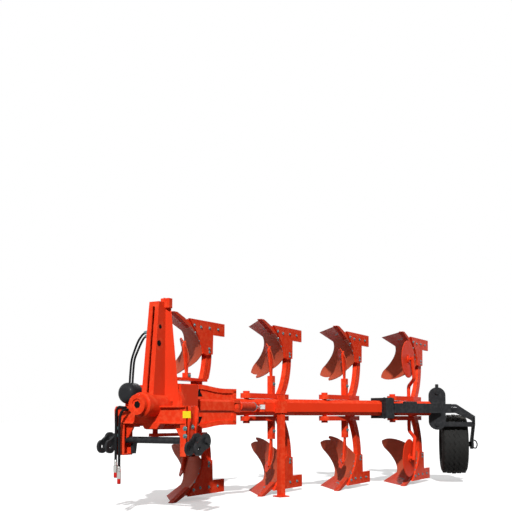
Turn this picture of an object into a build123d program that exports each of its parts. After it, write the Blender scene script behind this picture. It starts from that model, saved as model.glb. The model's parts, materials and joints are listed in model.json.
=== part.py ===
from build123d import *
import math
import os

os.makedirs("parts", exist_ok=True)

# Main sizes in millimetres. +X is the plough's left, +Y its rear, and the floor is z = 0.
# Everything is drawn from the point of the first body, and moved to the middle of the plough at the end.
body_count = 4
body_pitch = 955
body_step = 415
mid_height = 905
tall = 2 * mid_height

# Beam
beam_wide = 150
beam_high = 168
beam_chamfer = 38
beam_wall = 10
beam_front = 690
beam_rear = 3540
frame_top = 245
frame_nose = 120
frame_wall = 14
swing_along = -380
swing_pin = 35

# Plough body, measured from its own point
share_angle = 40
board_thick = (8, -6)
shin_side = 0
frog_thick = 22
frog_top = 255
frog_wall = 16
leg_thick = 52
leg_top = mid_height - 115
leg_bend = (frog_top + leg_top) / 2 - 2.5
pivot_x = -65
pivot_y = -175
pivot_pin = 25
running_gap = 0.05
plate_clear = 6
plate_thick = 50
holder_x = -20
holder_y = 260
holder_size = 60
holder_end = 575

# Headstock
head_x = 460
hub_radius = 100
hub_front = -1120
hub_rear = -730
cross_y = -860
cross_deep = 140
cross_top = mid_height - 9
cross_high = 146
leg_offset = 320
foot_z = mid_height - 415
shaft_z = mid_height - 288
shaft_radius = 28
mast_top = mid_height + 855
hitch_offset = 482
hitch_bore = 18.4
hitch_z = shaft_z - 57
hitch_y = cross_y - 100

# Width ram, from the clevis of the offset arm to the lug on the beam
clevis_at = (570, 220)
barrel_at = (420, -330)
ram_pin = 18
rod_radius = 20
lug_along = 937
lug_side = 149

# Wheel
wheel_yaw = 21
wheel_radius = 366
wheel_wide = 320
rim_radius = 205
boss_at = (1600, 3420)
wheel_back = 330
wheel_down = 436
wheel_out = 97

beam_length = math.hypot(body_step, body_pitch)
beam_dir = (body_step / beam_length, body_pitch / beam_length)
beam_left = (beam_dir[1], -beam_dir[0])
share_dir = (-math.sin(math.radians(share_angle)), math.cos(math.radians(share_angle)), 0)
rise_dir = (share_dir[1], -share_dir[0], 0)
swing_at = (beam_dir[0] * swing_along, beam_dir[1] * swing_along)
axle_dir = (math.cos(math.radians(wheel_yaw)), math.sin(math.radians(wheel_yaw)))
back_dir = (-axle_dir[1], axle_dir[0])
pieces = {}


def keep(name, shape):
    pieces[name] = shape


def both_ways(shape):
    """A lower piece and its mirror image above the beam."""
    return Compound([*shape.solids(), *shape.mirror(Plane.XY.offset(mid_height)).solids()])


def on_beam(along, side=0):
    return (
        beam_dir[0] * along + beam_left[0] * side,
        beam_dir[1] * along + beam_left[1] * side,
    )


def beam_section(along):
    x, y = on_beam(along)
    return Plane((x, y, mid_height), x_dir=(-beam_dir[1], beam_dir[0], 0), z_dir=(*beam_dir, 0))


def beam_plan(along, side, z):
    x, y = on_beam(along, side)
    return Plane((x, y, z), x_dir=(*beam_dir, 0), z_dir=(0, 0, 1))


def body_at(index):
    return (body_step * index, body_pitch * index)


# Mouldboard: arcs in planes square to the share's edge, each row one plane.
# The columns are the place along the edge, then the arc's foot, middle and top as (back, up).
board_rows = [
    (60, (140, 81), (292, 250), (317, 470)),
    (380, (140, 81), (292, 250), (317, 470)),
    (620, (133, 120), (229, 300), (139, 560)),
    (1100, (75, 160), (80, 330), (-45, 570)),
]
skim_rows = [
    (0, (0, 0), (62, 120), (58, 345)),
    (320, (0, 40), (20, 180), (-60, 345)),
]


def edge_plane(along, origin=(0, 0, 0)):
    place = [origin[i] + share_dir[i] * along for i in range(3)]
    return Plane(place, x_dir=rise_dir, z_dir=tuple(-v for v in share_dir))


def curved_board(rows, thick, origin=(0, 0, 0)):
    with BuildPart() as board:
        for along, foot, middle, top in rows:
            back = [(p[0] + thick[0], p[1] + thick[1]) for p in (foot, middle, top)]
            with BuildSketch(edge_plane(along, origin)):
                with BuildLine():
                    ThreePointArc(foot, middle, top)
                    Line(top, back[2])
                    ThreePointArc(back[2], back[1], back[0])
                    Line(back[0], foot)
                make_face()
        loft(ruled=True)
    return board.part


def outline_plane(origin=(0, 0, 0)):
    return Plane(origin, x_dir=share_dir, z_dir=rise_dir)


def make_mouldboard():
    with BuildPart() as mouldboard:
        add(curved_board(board_rows, board_thick))
        with BuildSketch(outline_plane()):
            with BuildLine():
                Polyline((470, 446), (384, 372), (0, 300), (0, -20), (616, -20), (616, 118), (965, 400))
                ThreePointArc((965, 400), (985, 465), (930, 510))
                ThreePointArc((930, 510), (700, 530), (470, 446))
            make_face()
        extrude(amount=900, both=True, mode=Mode.INTERSECT)
        with BuildSketch(Plane.YZ.offset(shin_side)):
            Rectangle(3000, 3000)
        extrude(amount=-1500, mode=Mode.INTERSECT)
    return mouldboard.part


point_wide = 50
point_side = -40


def make_share():
    with BuildPart() as share:
        for along, foot, _, _ in board_rows[:3]:
            with BuildSketch(edge_plane(along)):
                with BuildLine():
                    Polyline((0, 0), (16, 0), (foot[0] + board_thick[0], foot[1] + board_thick[1]), foot, close=True)
                make_face()
        with BuildSketch(edge_plane(741)):
            with BuildLine():
                Polyline((0, 0), (14, 0), (20, 6), (9, 8), close=True)
            make_face()
        loft(ruled=True)
        with BuildSketch(Plane.YZ.offset(point_side + 2)):
            Rectangle(3000, 3000)
        extrude(amount=-1500, mode=Mode.INTERSECT)
        with BuildSketch(Plane.YZ.offset(point_side)):
            with BuildLine():
                Polyline((0, 0), (60, 0), (200, 50), (212, 84), (282, 112), (274, 131), (2, 6), close=True)
            make_face()
        extrude(amount=point_wide)
    return share.part


def make_frog(mouldboard, share):
    with BuildPart() as block:
        with BuildSketch(Plane.XY.offset(50)):
            Polygon((0, 225), (-170, 425), (-170, 640), (-60, 662), (0, 662), align=None)
        extrude(amount=frog_top - 50)
    behind = (block.part - mouldboard - share).solids().sort_by(Axis.Y)[-1]
    pocket = Pos(-frog_wall - 200, 470 + 200, (50 + frog_top) / 2) * Box(400, 400, frog_top - 50 - 2 * frog_wall)
    behind = (behind - pocket).solids().sort_by(SortBy.VOLUME)[-1]
    with BuildPart() as frog:
        add(behind)
        with BuildSketch(Plane.YZ):
            with BuildLine():
                Polyline((505, 372), (545, 385), (665, 372), (672, 172), (887, 172), (887, 42), (250, 42), (390, 180))
                ThreePointArc((390, 180), (462, 270), (505, 372))
            make_face()
        extrude(amount=frog_thick)
    return frog.part


def make_leg(end_z):
    with BuildPart() as leg:
        with BuildSketch(Plane.YZ):
            with BuildLine():
                ThreePointArc((560, frog_top), (548, leg_bend), (385, leg_top))
                Line((385, leg_top), (510, leg_top))
                ThreePointArc((510, leg_top), (655, leg_bend), (665, frog_top))
                Line((665, frog_top), (560, frog_top))
            make_face()
            with BuildSketch(mode=Mode.PRIVATE) as below:
                with Locations((500, end_z - 1000)):
                    Rectangle(1000, 2000)
            add(below.sketch, mode=Mode.INTERSECT)
        extrude(amount=-leg_thick)
        with BuildSketch(Plane.YZ):
            with BuildLine():
                groove = ThreePointArc((620, 420), (598, 530), (520, 690))
            trace(line_width=10)
        extrude(amount=-6, mode=Mode.SUBTRACT)
    return leg.part


def make_carrier(inner, skimmer):
    """Plates above and below the beam, the bolt they turn on, and the post that joins them."""
    plate_z = mid_height + inner
    thick = plate_thick if inner < 200 else 28
    with BuildPart() as carrier:
        with BuildSketch(Plane.XY.offset(plate_z)):
            Polygon((-125, -175), (-5, -175), (55, 215), (40, 540), (-95, 540), (-95, 215), align=None)
            with Locations((pivot_x, pivot_y)):
                Circle(60)
        extrude(amount=thick)
        mirror(about=Plane.XY.offset(mid_height))
        with Locations((pivot_x, pivot_y, mid_height)):
            Cylinder(pivot_pin, 2 * (inner + thick))
        with Locations((pivot_x, pivot_y, plate_z + thick), (pivot_x, pivot_y, tall - plate_z - thick)):
            Cylinder(34, 44)
        with BuildSketch(Plane.XY.offset(tall - plate_z)):
            with Locations((-leg_thick, 480)):
                RectangleRounded(86, 100, 12)
        extrude(amount=2 * inner)
        if skimmer:
            with BuildSketch(Plane.XY.offset(holder_end)):
                with Locations((holder_x, holder_y)):
                    Rectangle(holder_size, holder_size)
            extrude(amount=tall - plate_z - thick - holder_end)
            with BuildSketch(Plane.XY.offset(plate_z + thick)):
                with Locations((holder_x, holder_y)):
                    Rectangle(holder_size, holder_size)
            extrude(amount=tall - plate_z - thick - holder_end)
    return carrier.part


skim_point = (-40, 190, 238)


def make_skimmer():
    board = curved_board(skim_rows, (6, -3), skim_point)
    with BuildPart() as skimmer:
        add(board)
        with BuildSketch(outline_plane(skim_point)):
            with BuildLine():
                Polyline((0, 230), (0, -10), (60, -4), (190, 62), (175, 190), (255, 300))
                ThreePointArc((255, 300), (235, 335), (195, 330))
                ThreePointArc((195, 330), (80, 300), (0, 230))
            make_face()
        extrude(amount=400, both=True, mode=Mode.INTERSECT)
        with BuildSketch(Plane.YZ.offset(skim_point[0] + 8)):
            Rectangle(3000, 3000)
        extrude(amount=-1500, mode=Mode.INTERSECT)
        with BuildSketch(Plane.YZ.offset(skim_point[0] + 8)):
            with BuildLine():
                Polyline((235, 515), (245, holder_end), (275, holder_end), (295, 510), (300, 330), (180, 226), (178, 244), close=True)
            make_face()
        extrude(amount=20)
    return skimmer.part


mouldboard_shape = make_mouldboard()
share_shape = make_share()
frog_shape = make_frog(mouldboard_shape, share_shape)
skimmer_shape = make_skimmer()
for index in range(body_count):
    first = index == 0
    last = index == body_count - 1
    inner = frame_top + plate_clear if first else beam_high / 2 + plate_clear
    carrier_shape = make_carrier(inner, not last)
    leg_end = mid_height - inner - (28 if first else plate_thick)
    place = Pos(*body_at(index), 0)
    number = str(index + 1)
    keep("carrier_" + number, place * carrier_shape)
    keep("legs_" + number, place * both_ways(make_leg(leg_end)))
    keep("frogs_" + number, place * both_ways(frog_shape))
    keep("mouldboards_" + number, place * both_ways(mouldboard_shape))
    keep("shares_" + number, place * both_ways(share_shape))
    if not last:
        keep("skimmers_" + number, place * both_ways(skimmer_shape))

# Disc coulters of the last body
disc_at = (50, 60, 327)
disc_radius = 220
arm_top = mid_height - beam_high / 2 - plate_clear - plate_thick
last_place = Pos(*body_at(body_count - 1), 0)
with BuildPart() as coulter_arm:
    with BuildLine() as arm_line:
        FilletPolyline(
            (holder_x, holder_y, arm_top),
            (holder_x, holder_y, arm_top - 125),
            (disc_at[0] + 48, disc_at[1] + 60, arm_top - 205),
            (disc_at[0] + 48, disc_at[1], disc_at[2] - 25),
            radius=45,
        )
    with BuildSketch(Plane(arm_line.line @ 0, z_dir=arm_line.line % 0)):
        Circle(21)
    sweep()
    with BuildSketch(Plane.YZ.offset(disc_at[0] - 30)):
        with Locations((disc_at[1], disc_at[2])):
            Circle(17)
    extrude(amount=86)
keep("coulter_arms", last_place * both_ways(coulter_arm.part))
with BuildPart() as coulter_disc:
    with BuildSketch(Plane.YZ.offset(disc_at[0] - 3)):
        with Locations((disc_at[1], disc_at[2])):
            Circle(disc_radius)
    extrude(amount=6)
    chamfer(coulter_disc.edges().filter_by(GeomType.CIRCLE).sort_by(Axis.X)[-1], 2.5)
    with BuildSketch(Plane.YZ.offset(disc_at[0] - 24)):
        with Locations((disc_at[1], disc_at[2])):
            Circle(46)
    extrude(amount=39)
    with BuildSketch(Plane.YZ.offset(disc_at[0] - 40)):
        with Locations((disc_at[1], disc_at[2])):
            Circle(17 + running_gap)
    extrude(amount=80, mode=Mode.SUBTRACT)
keep("coulter_disc_lower", last_place * coulter_disc.part)
keep("coulter_disc_upper", last_place * coulter_disc.part.mirror(Plane.XY.offset(mid_height)))

# Beam: a chamfered tube behind, a deep curved frame in front
with BuildPart() as beam:
    with BuildSketch(beam_section(beam_front)):
        Rectangle(beam_wide, beam_high)
        chamfer(vertices(), beam_chamfer)
        Rectangle(beam_wide - 2 * beam_wall, beam_high - 2 * beam_wall - 2 * beam_chamfer, mode=Mode.SUBTRACT)
        Rectangle(beam_wide - 2 * beam_wall - 2 * beam_chamfer, beam_high - 2 * beam_wall, mode=Mode.SUBTRACT)
    extrude(amount=beam_rear - beam_front)
    with BuildSketch(beam_section(beam_rear - 12)):
        Rectangle(beam_wide - 2 * beam_chamfer, beam_high - 2 * beam_chamfer)
    extrude(amount=12)
    with BuildSketch(beam_plan(lug_along, lug_side, mid_height - 50)):
        Circle(40)
        with Locations((0, 45)):
            Rectangle(80, 90)
    extrude(amount=24)
    mirror(about=Plane.XY.offset(mid_height))
    with BuildSketch(beam_plan(lug_along, lug_side, mid_height - 50)):
        Circle(ram_pin - 4)
    extrude(amount=100)
    for index in range(1, body_count):
        x, y = body_at(index)
        with Locations((x + pivot_x, y + pivot_y, mid_height)):
            Cylinder(pivot_pin + running_gap, 2 * beam_high, mode=Mode.SUBTRACT)
keep("beam", beam.part)

with BuildPart() as front_frame:
    with BuildSketch(Plane((0, 0, mid_height), x_dir=(*beam_dir, 0), z_dir=(*beam_left, 0))):
        with BuildLine():
            Polyline((swing_along, frame_nose), (-262, frame_nose), (-242, frame_top), (210, frame_top))
            ThreePointArc((210, frame_top), (330, 225), (430, 190))
            ThreePointArc((430, 190), (490, 172), (550, 168))
            Polyline((550, 168), (beam_front, 168), (beam_front, 0), (swing_along, 0), (swing_along, frame_nose))
        make_face()
        mirror(about=Plane.XZ)
    extrude(amount=beam_wide / 2, both=True)
    with BuildSketch(Plane((0, 0, mid_height), x_dir=(*beam_dir, 0), z_dir=(*beam_left, 0))):
        with BuildLine():
            Polyline((-230, 0), (-230, frame_top - frame_wall), (205, frame_top - frame_wall))
            ThreePointArc((205, frame_top - frame_wall), (330, 225 - frame_wall), (430, 190 - frame_wall))
            Line((430, 190 - frame_wall), (550, 168 - frame_wall))
            Polyline((550, 168 - frame_wall), (beam_front - frame_wall, 168 - frame_wall), (beam_front - frame_wall, 0), (-230, 0))
        make_face()
        mirror(about=Plane.XZ)
    extrude(amount=beam_wide / 2 - frame_wall, both=True, mode=Mode.SUBTRACT)
    with Locations((*swing_at, mid_height)):
        Cylinder(beam_wide / 2, 2 * frame_nose)
        Cylinder(swing_pin + running_gap, 3 * frame_nose, mode=Mode.SUBTRACT)
    with Locations((pivot_x, pivot_y, mid_height)):
        Cylinder(pivot_pin + running_gap, 3 * frame_top, mode=Mode.SUBTRACT)
keep("front_frame", front_frame.part)

# Stand
stand_along = 1211
stand_side = 120
stand_size = 60
with BuildPart() as stand_sleeve:
    with BuildSketch(beam_plan(stand_along, stand_side, mid_height - 60)):
        Rectangle(90, 90)
        Rectangle(stand_size + 1, stand_size + 1, mode=Mode.SUBTRACT)
    extrude(amount=120)
keep("stand_sleeve", stand_sleeve.part)
with BuildPart() as stand:
    with BuildSketch(beam_plan(stand_along, stand_side, 0)):
        Rectangle(120, 120)
    extrude(amount=12)
    with BuildSketch(beam_plan(stand_along, stand_side, 12)):
        Rectangle(stand_size, stand_size)
        Rectangle(stand_size - 12, stand_size - 12, mode=Mode.SUBTRACT)
    extrude(amount=mid_height + 110)
keep("stand", stand.part)

# Headstock with its saddle for the hub
hub_axis = Plane((head_x, hub_front, mid_height), x_dir=(1, 0, 0), z_dir=(0, 1, 0))
with BuildPart() as hub:
    with BuildSketch(hub_axis):
        Circle(hub_radius - 18)
        Circle(48, mode=Mode.SUBTRACT)
    extrude(amount=40)
    with BuildSketch(hub_axis.offset(40)):
        Circle(hub_radius)
    extrude(amount=hub_rear - hub_front - 40)
    chamfer(hub.edges().filter_by(GeomType.CIRCLE).group_by(Axis.Y)[1].sort_by(SortBy.RADIUS)[-1:], 12)
keep("hub", hub.part)
with BuildPart() as headstock:
    with Locations((head_x, cross_y, cross_top - cross_high / 2)):
        Box(2 * leg_offset - 80, cross_deep, cross_high)
    for side in (-1, 1):
        with BuildSketch(Plane.XZ.offset(-cross_y - 55)):
            x = head_x + side * leg_offset
            Polygon((x - 40, foot_z), (x + 40, foot_z), (x + 40, cross_top - 20), (x + 20, cross_top), (x - 20, cross_top), (x - 40, cross_top - 20), align=None)
        extrude(amount=110)
        with BuildSketch(Plane.XZ.offset(-cross_y - 12)):
            inner_x = head_x + side * (leg_offset - 40)
            Polygon((inner_x, cross_top - cross_high), (inner_x - side * 110, cross_top - cross_high), (inner_x, cross_top - cross_high - 120), align=None)
        extrude(amount=24)
    with BuildSketch(hub_axis):
        Circle(hub_radius)
    extrude(amount=600, mode=Mode.SUBTRACT)
    with BuildSketch(Plane.YZ.offset(head_x)):
        with Locations((cross_y, shaft_z)):
            Circle(shaft_radius)
    extrude(amount=500, both=True, mode=Mode.SUBTRACT)
keep("headstock", headstock.part)

# Mast: narrow in front, flared behind. Columns: height, front, width, side depth, flare
mast_wall = 12
mast_rows = [(cross_top, -990, 122, 165, 88), (mast_top, -900, 100, 90, 30)]
link_holes = [(-903, mast_top - 349), (-886, mast_top - 210)]
link_hole_radius = 16.2


def mast_section(row, wall=0):
    level, front, wide, deep, flare = row
    half = wide / 2 - wall
    with BuildSketch(Plane.XY.offset(level)) as section:
        with BuildLine():
            Polyline(
                (head_x - half, front + wall),
                (head_x + half, front + wall),
                (head_x + half, front + deep),
                (head_x + half + flare - wall, front + deep + flare - wall),
                (head_x - half - flare + wall, front + deep + flare - wall),
                (head_x - half, front + deep),
                close=True,
            )
        make_face()
    return section.sketch


with BuildPart() as mast:
    for row in mast_rows:
        add(mast_section(row))
    loft()
    for row in mast_rows:
        add(mast_section(row, mast_wall))
    loft(mode=Mode.SUBTRACT)
    with BuildSketch(Plane.XY.offset(mast_top - mast_wall)):
        with Locations((head_x, -840)):
            Rectangle(99, 100)
    extrude(amount=mast_wall)
    with BuildSketch(Plane.XZ.offset(-mast_rows[1][1] - 20)):
        with Locations((head_x, (cross_top + mast_top) / 2 + 22)):
            SlotOverall(mast_top - cross_top - 124, 24, rotation=90)
    extrude(amount=200, mode=Mode.SUBTRACT)
    with BuildSketch(hub_axis):
        Circle(hub_radius)
        with Locations((0, hub_radius - 30)):
            Rectangle(2 * hub_radius + 12, 2 * hub_radius)
    extrude(amount=600, mode=Mode.SUBTRACT)
    with BuildSketch(Plane.YZ.offset(head_x)):
        with Locations(*link_holes):
            Circle(link_hole_radius)
    extrude(amount=200, both=True, mode=Mode.SUBTRACT)
    with BuildSketch(Plane.YZ.offset(head_x + 20)):
        Polygon((-800, mast_top - 4), (-800, mast_top + 42), (-760, mast_top + 20), (-772, mast_top - 60), (-790, mast_top - 60), align=None)
    extrude(amount=14)
keep("mast", mast.part)

# Ram that turns the plough over, behind the top link's upper hole
turn_ram_radius = 36
turn_ram_y = link_holes[1][0] + link_hole_radius + 8 + turn_ram_radius
turn_ram_levels = [mid_height + hub_radius, mid_height + 215, mast_top - 200, mast_top - 120]
with BuildPart() as turn_ram:
    for low, high, radius in zip(turn_ram_levels, turn_ram_levels[1:], (20, turn_ram_radius, 24)):
        with BuildSketch(Plane.XY.offset(low)):
            with Locations((head_x, turn_ram_y)):
                Circle(radius)
        extrude(amount=high - low)
keep("turn_ram", turn_ram.part)

with BuildPart() as cross_shaft:
    with BuildSketch(Plane.YZ.offset(head_x)):
        with Locations((cross_y, shaft_z)):
            Circle(shaft_radius)
    extrude(amount=hitch_offset + 40, both=True)
keep("cross_shaft", cross_shaft.part)
# Each lower link's ball sits between two plates, on a pin that is pushed in from outside
for name, side in (("link_bracket_right", -1), ("link_bracket_left", 1)):
    inner_x = head_x + side * (hitch_offset - 90)
    outer_x = head_x + side * (hitch_offset - 5)
    with BuildPart() as bracket:
        for face_x in (inner_x, outer_x):
            with BuildSketch(Plane.YZ.offset(face_x)):
                with Locations((cross_y, shaft_z)):
                    Circle(62)
                with Locations((hitch_y, hitch_z)):
                    Circle(56)
                Polygon((cross_y, shaft_z - 62), (cross_y, shaft_z + 62), (hitch_y, hitch_z + 56), (hitch_y, hitch_z - 56), align=None)
                with Locations((cross_y, shaft_z)):
                    Circle(shaft_radius, mode=Mode.SUBTRACT)
                with Locations((hitch_y, hitch_z)):
                    Circle(hitch_bore, mode=Mode.SUBTRACT)
            extrude(amount=side * 22)
    keep(name, bracket.part)

# Swivel head that turns on the hub, and its offset arm
with BuildPart() as swivel_head:
    with BuildSketch(hub_axis.offset(hub_rear - hub_front + 0.5)):
        Circle(170)
    extrude(amount=45)
    with Locations((315, -565, mid_height)):
        Box(550, 250, 2 * frame_nose + 12)
        Box(550 - 36, 250 - 36, 2 * frame_nose + 12, mode=Mode.SUBTRACT)
    for level in (mid_height + frame_nose + 6, mid_height - frame_nose - 56):
        with BuildSketch(Plane.XY.offset(level)):
            with Locations(swing_at):
                Circle(95)
            Polygon((-205, -425), (40, -690), (590, -690), (590, -440), (500, -300), (350, -300), (320, -420), (40, -410), (-120, -258), align=None)
        extrude(amount=50)
    with Locations((*swing_at, mid_height)):
        Cylinder(swing_pin, 2 * frame_nose + 140)
    with Locations((*barrel_at, mid_height)):
        Cylinder(75, 380)
keep("swivel_head", swivel_head.part)

arm_length = math.dist(barrel_at, clevis_at)
arm_dir = ((clevis_at[0] - barrel_at[0]) / arm_length, (clevis_at[1] - barrel_at[1]) / arm_length)
arm_plan = Plane((*barrel_at, mid_height - 59), x_dir=(*arm_dir, 0), z_dir=(0, 0, 1))
with BuildPart() as offset_arm:
    with BuildSketch(arm_plan):
        with Locations((arm_length / 2 - 30, 0)):
            Rectangle(arm_length - 60, 100)
        with Locations((arm_length - 45, 0)):
            Rectangle(90, 76)
        with Locations((arm_length, 0)):
            Circle(38)
    extrude(amount=118)
    with BuildSketch(arm_plan.offset(34)):
        with Locations((arm_length, 0)):
            Rectangle(92, 120)
    extrude(amount=50, mode=Mode.SUBTRACT)
    with BuildSketch(arm_plan.offset(-10)):
        with Locations((arm_length, 0)):
            Circle(ram_pin)
    extrude(amount=138)
    with Locations((*barrel_at, mid_height)):
        Cylinder(75, 380, mode=Mode.SUBTRACT)
keep("offset_arm", offset_arm.part)

lug_at = on_beam(lug_along, lug_side)
ram_length = math.dist(clevis_at, lug_at)
ram_dir = ((lug_at[0] - clevis_at[0]) / ram_length, (lug_at[1] - clevis_at[1]) / ram_length)
ram_plan = Plane((*clevis_at, mid_height - 22), x_dir=(*ram_dir, 0), z_dir=(0, 0, 1))
ram_end = Plane((*clevis_at, mid_height), x_dir=(0, 0, 1), z_dir=(*ram_dir, 0))
with BuildPart() as ram_barrel:
    with BuildSketch(ram_plan):
        Circle(38)
        with Locations((30, 0)):
            Rectangle(60, 50)
        Circle(ram_pin + running_gap, mode=Mode.SUBTRACT)
    extrude(amount=44)
    with BuildSketch(ram_end.offset(55)):
        Circle(43)
    extrude(amount=330)
    with BuildSketch(ram_end.offset(200)):
        Circle(rod_radius + running_gap)
    extrude(amount=200, mode=Mode.SUBTRACT)
keep("ram_barrel", ram_barrel.part)
eye_slack = 16
with BuildPart() as ram_rod:
    with BuildSketch(ram_plan):
        with Locations((ram_length, 0)):
            Circle(ram_pin + eye_slack + 9)
            Circle(ram_pin - 4 + eye_slack, mode=Mode.SUBTRACT)
    extrude(amount=44)
    with BuildSketch(ram_end.offset(320)):
        Circle(rod_radius)
    extrude(amount=ram_length - 320 - ram_pin - eye_slack - 4)
keep("ram_rod", ram_rod.part)
# Accumulator beside the hub
drum_at = (200, -900, mid_height + 100)
drum_radius = 89
with BuildPart() as drum:
    with BuildSketch(Plane((drum_at[0], 0, drum_at[2]), x_dir=(1, 0, 0), z_dir=(0, 1, 0)).offset(drum_at[1] - 60)):
        Circle(drum_radius)
    extrude(amount=180)
    fillet(drum.edges().filter_by(GeomType.CIRCLE), 55)
keep("accumulator", drum.part)
with BuildPart() as drum_bracket:
    with Locations((drum_at[0], cross_y, cross_top + 32)):
        Box(90, 50, 64)
    with BuildSketch(Plane((drum_at[0], 0, drum_at[2]), x_dir=(1, 0, 0), z_dir=(0, 1, 0)).offset(-2000)):
        Circle(drum_radius)
    extrude(amount=2000, mode=Mode.SUBTRACT)
keep("drum_bracket", drum_bracket.part)

# Depth wheel: clamp and arm on the beam, head, swinging arm, rim and tyre
clamp_long = 130
last_x, last_y = body_at(body_count - 1)
last_pivot_along = (last_x + pivot_x) * beam_dir[0] + (last_y + pivot_y) * beam_dir[1]
clamp_along = last_pivot_along - clamp_long - 107.5
arm_side = beam_wide / 2 + 40
with BuildPart() as rear_clamp:
    with BuildSketch(beam_section(clamp_along)):
        with Locations((-20, 0)):
            Rectangle(beam_wide + 90, beam_high + 64)
        Rectangle(beam_wide, beam_high, mode=Mode.SUBTRACT)
    extrude(amount=clamp_long)
keep("rear_clamp", rear_clamp.part)


def along_axle(out, back=0, down=0):
    return (
        boss_at[0] + axle_dir[0] * out + back_dir[0] * back,
        boss_at[1] + axle_dir[1] * out + back_dir[1] * back,
        mid_height - down,
    )


def axle_plane(out, back=0, down=0):
    """Plane square to the wheel's axle: local x points back, local y up."""
    return Plane(along_axle(out, back, down), x_dir=(*back_dir, 0), z_dir=(*axle_dir, 0))


with BuildPart() as wheel_head:
    with BuildSketch(beam_plan(clamp_along + clamp_long, arm_side, mid_height - 55)):
        with Locations(((beam_rear + 90 - clamp_along - clamp_long) / 2, 0)):
            Rectangle(beam_rear + 90 - clamp_along - clamp_long, 70)
    extrude(amount=110)
    with BuildSketch(Plane(along_axle(-120, -62), x_dir=(*axle_dir, 0), z_dir=(*back_dir, 0))):
        SlotOverall(510, 200, rotation=90)
        with GridLocations(0, 380, 1, 2):
            Circle(17, mode=Mode.SUBTRACT)
    extrude(amount=-24)
    with BuildSketch(axle_plane(-200)):
        with BuildLine():
            Polyline((-62, 55), (-62, -55), (0, -55), (0, 55), close=True)
        make_face()
        Circle(55)
        Circle(30 + running_gap, mode=Mode.SUBTRACT)
    extrude(amount=250)
keep("wheel_head", wheel_head.part)

arm_out = wheel_out + wheel_wide / 2 + 42
with BuildPart() as wheel_arm:
    with BuildSketch(axle_plane(-205)):
        Circle(30)
    extrude(amount=270)
    with BuildSketch(axle_plane(58)):
        Circle(52)
    extrude(amount=arm_out - 58)
    with BuildSketch(axle_plane(arm_out)):
        with BuildLine():
            Polyline((-52, 0), (-30, 60), (80, 45), (wheel_back + 50, -wheel_down + 60), (wheel_back + 50, -wheel_down - 40), (wheel_back - 40, -wheel_down - 40), (40, -180), close=True)
        make_face()
    extrude(amount=26)
    with BuildSketch(axle_plane(arm_out, wheel_back, wheel_down)):
        Circle(58)
    extrude(amount=26)
    with BuildSketch(axle_plane(arm_out, wheel_back, wheel_down)):
        Circle(32)
    extrude(amount=-150)
keep("wheel_arm", wheel_arm.part)

wheel_section = Plane(along_axle(wheel_out, wheel_back, wheel_down), x_dir=(*axle_dir, 0), z_dir=(-back_dir[0], -back_dir[1], 0))
wheel_axis = Axis(along_axle(wheel_out, wheel_back, wheel_down), (*axle_dir, 0))
half = wheel_wide / 2
with BuildPart() as tyre:
    with BuildSketch(wheel_section):
        with BuildLine():
            Polyline((-half + 40, rim_radius), (-half + 40, rim_radius + 28), (-half + 8, rim_radius + 40))
            ThreePointArc((-half + 8, rim_radius + 40), (-half, rim_radius + 85), (-half + 12, wheel_radius - 30))
            ThreePointArc((-half + 12, wheel_radius - 30), (-half + 25, wheel_radius - 10), (-half + 48, wheel_radius - 3))
            ThreePointArc((-half + 48, wheel_radius - 3), (0, wheel_radius), (half - 48, wheel_radius - 3))
            ThreePointArc((half - 48, wheel_radius - 3), (half - 25, wheel_radius - 10), (half - 12, wheel_radius - 30))
            ThreePointArc((half - 12, wheel_radius - 30), (half, rim_radius + 85), (half - 8, rim_radius + 40))
            Polyline((half - 8, rim_radius + 40), (half - 40, rim_radius + 28), (half - 40, rim_radius), (-half + 40, rim_radius))
        make_face()
        with Locations((0, (wheel_radius + rim_radius) / 2 + 4)):
            RectangleRounded(wheel_wide - 50, 105, 40, mode=Mode.SUBTRACT)
    revolve(axis=wheel_axis)
keep("tyre", tyre.part)
with BuildPart() as rim:
    with BuildSketch(wheel_section):
        with BuildLine():
            Polyline((-half + 30, rim_radius + 18), (-half + 30, rim_radius - 12), (half - 60, rim_radius - 12), (half - 60, 32 + running_gap), (half - 20, 32 + running_gap), (half - 20, 90), (half - 48, 90), (half - 48, rim_radius - 22), (half - 30, rim_radius - 12), (half - 30, rim_radius + 18), (half - 40, rim_radius + 18), (half - 40, rim_radius), (-half + 40, rim_radius), (-half + 40, rim_radius + 18), close=True)
        make_face()
    revolve(axis=wheel_axis)
keep("rim", rim.part)

# Hoses: two held ones from the mast to the accumulator, two free ones with their couplers
free_hoses = {
    "hose_long": [
        (236, -950, 868), (236, -985, 868), (225, -1010, 860), (205, -1010, 820), (190, -1000, 760),
        (179, -988, 640), (183, -990, 520), (183, -990, 401),
    ],
    "hose_short": [
        (216, -950, 884), (216, -985, 884), (180, -1002, 892), (154, -1000, 858), (147, -992, 790),
        (143, -987, 690), (146, -990, 570), (146, -990, 451),
    ],
}
hose_block = ((200, -950), (252, -930), (856, 896))
hose_radius = 11


def bend_radii(points):
    radii = []
    for before, here, after in zip(points, points[1:], points[2:]):
        run_in = Vector(*here) - Vector(*before)
        run_out = Vector(*after) - Vector(*here)
        turn = math.radians(run_in.get_angle(run_out))
        radii.append(0.45 * min(run_in.length, run_out.length) / math.tan(turn / 2))
    return radii


def hose_tube(points, radius, radii):
    with BuildPart() as tube:
        with BuildLine() as route:
            FilletPolyline(*points, radius=radii)
        with BuildSketch(Plane(route.line @ 0, z_dir=route.line % 0)):
            Circle(radius)
        sweep()
    length = sum(edge.length for edge in route.line.edges())
    share = tube.part.volume / (math.pi * radius**2 * length)
    print(round(length), "long, volume share", round(share, 3), "radii", [round(r) for r in radii])
    return tube.part


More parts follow.
